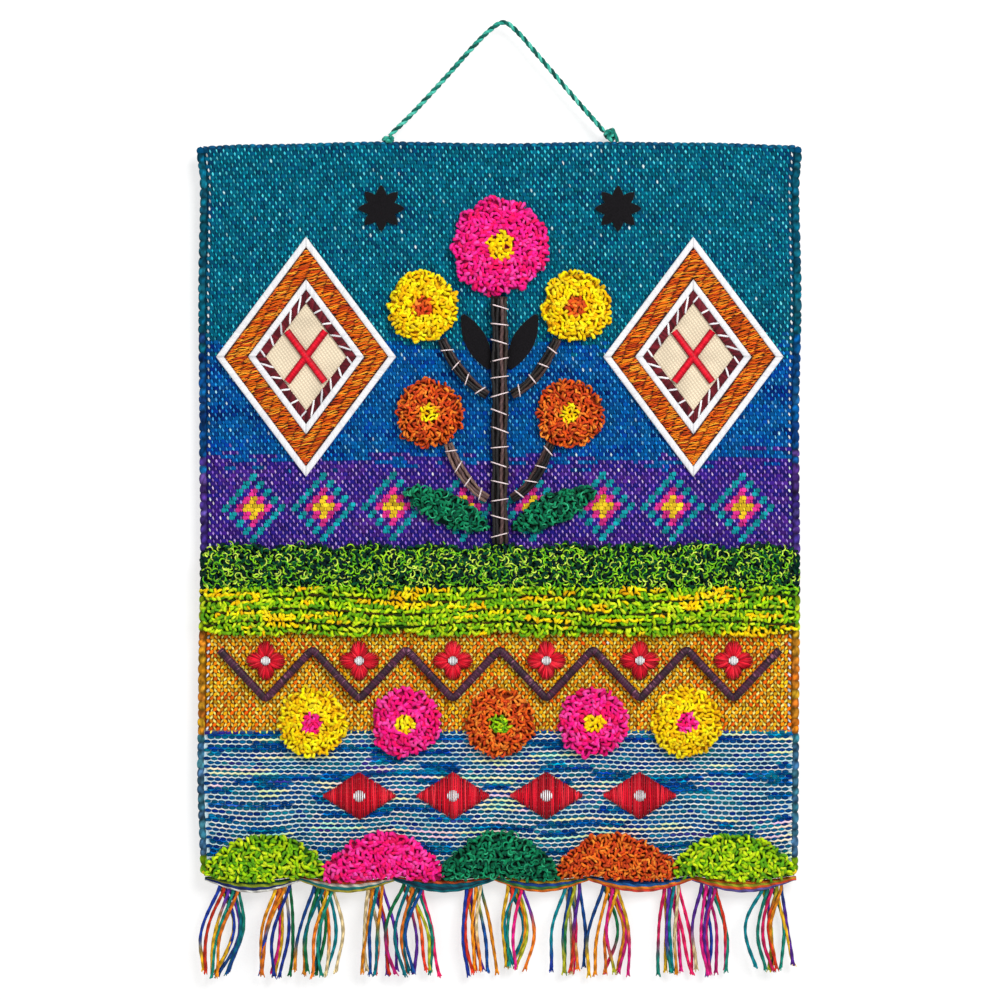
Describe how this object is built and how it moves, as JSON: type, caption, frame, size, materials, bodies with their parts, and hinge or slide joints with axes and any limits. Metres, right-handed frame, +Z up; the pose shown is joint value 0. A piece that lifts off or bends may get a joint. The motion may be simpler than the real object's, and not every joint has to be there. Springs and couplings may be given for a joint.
{
  "type": "woven wall hanging",
  "caption": "Rectangular woven wall hanging on a twisted cord, with raised looped-pile, stitched and wrapped yarn motifs and a tasselled lower edge.",
  "frame": {"origin": "underside of the hanging cord at its highest point, where it bears on a nail or hook", "axes": "+Z up; +Y towards the wall, so the decorated front faces -Y; +X to the right seen from the front"},
  "size_m": [0.3616, 0.017, 0.5736],
  "materials": {
    "ground_weave": "plain-woven yarn",
    "cord_green": "twisted yarn",
    "fringe_yarn": "plied yarns of many colours",
    "pile_green": "looped yarn pile",
    "pile_lime": "looped yarn pile",
    "pile_yellow": "looped yarn pile",
    "pile_pink": "looped yarn pile",
    "pile_orange": "cut yarn pile",
    "wrap_brown": "yarn bundle tied with thin thread",
    "felt_black": "cut felt",
    "satin_red": "thread-wrapped satin",
    "strip_white": "smooth thread-wrapped strip",
    "stitch_orange": "short stitches in rows",
    "linen_cream": "fine plain cloth"
  },
  "bodies": {
    "root": {"bloom_left_high": "pile_yellow", "bloom_left_low": "pile_orange", "bloom_right_high": "pile_yellow", "bloom_right_low": "pile_orange", "bloom_top": "pile_pink", "branch_left_high": "wrap_brown", "branch_left_low": "wrap_brown", "branch_right_high": "wrap_brown", "branch_right_low": "wrap_brown", "cloth": "ground_weave", "diamond_left_inner_strip": "strip_white", "diamond_left_outer_strip": "strip_white", "diamond_left_patch": "linen_cream", "diamond_left_slats": "satin_red", "diamond_left_stitched": "stitch_orange", "diamond_right_inner_strip": "strip_white", "diamond_right_outer_strip": "strip_white", "diamond_right_patch": "linen_cream", "diamond_right_slats": "satin_red", "diamond_right_stitched": "stitch_orange", "felt_leaf_left": "felt_black", "felt_leaf_right": "felt_black", "felt_star_left": "felt_black", "felt_star_right": "felt_black", "flower_1": "satin_red", "flower_2": "satin_red", "flower_3": "satin_red", "flower_4": "satin_red", "flower_5": "satin_red", "flower_6": "satin_red", "hanging_cord": "cord_green", "header_1": "fringe_yarn", "header_2": "fringe_yarn", "header_3": "fringe_yarn", "header_4": "fringe_yarn", "header_5": "fringe_yarn", "header_6": "fringe_yarn", "knot_left": "cord_green", "knot_right": "cord_green", "lozenge_1": "satin_red", "lozenge_2": "satin_red", "lozenge_3": "satin_red", "lozenge_4": "satin_red", "mound_1": "pile_lime", "mound_2": "pile_pink", "mound_3": "pile_green", "mound_4": "pile_orange", "mound_5": "pile_lime", "pile_band_lower": "pile_lime", "pile_band_upper": "pile_green", "pile_leaf_left": "pile_green", "pile_leaf_right": "pile_green", "stem": "wrap_brown", "tuft_1": "pile_yellow", "tuft_2": "pile_pink", "tuft_3": "pile_orange", "tuft_4": "pile_pink", "tuft_5": "pile_yellow", "zigzag_cord": "wrap_brown"}
  },
  "joints": []
}
